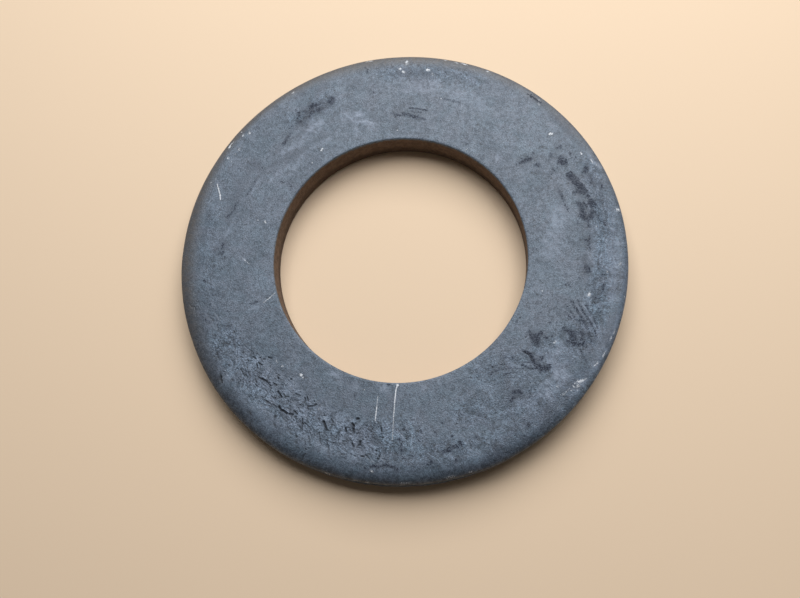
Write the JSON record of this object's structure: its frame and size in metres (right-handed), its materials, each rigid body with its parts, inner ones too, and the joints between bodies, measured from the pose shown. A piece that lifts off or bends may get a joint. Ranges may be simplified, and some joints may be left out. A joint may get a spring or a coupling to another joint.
{
  "type": "washer",
  "caption": "Thick flat round washer with a large plain bore. Top outer edge rolled over, rim torn at its foot, bore crisp at the top; dark scaled steel with pits, scratches and stains.",
  "frame": {"origin": "centre of the bottom face, on the bore's axis", "axes": "+Z along the bore's axis, up through the thickness towards the face with the rolled-over outer edge; the part is round, so X and Y are any two directions across it"},
  "size_m": [0.0952, 0.0952, 0.0071],
  "materials": {
    "scaled_steel": "matte blue-grey oxide scale from quenching, worn and pitted, brown in the bore"
  },
  "bodies": {
    "root": {"washer": "scaled_steel"}
  },
  "joints": []
}
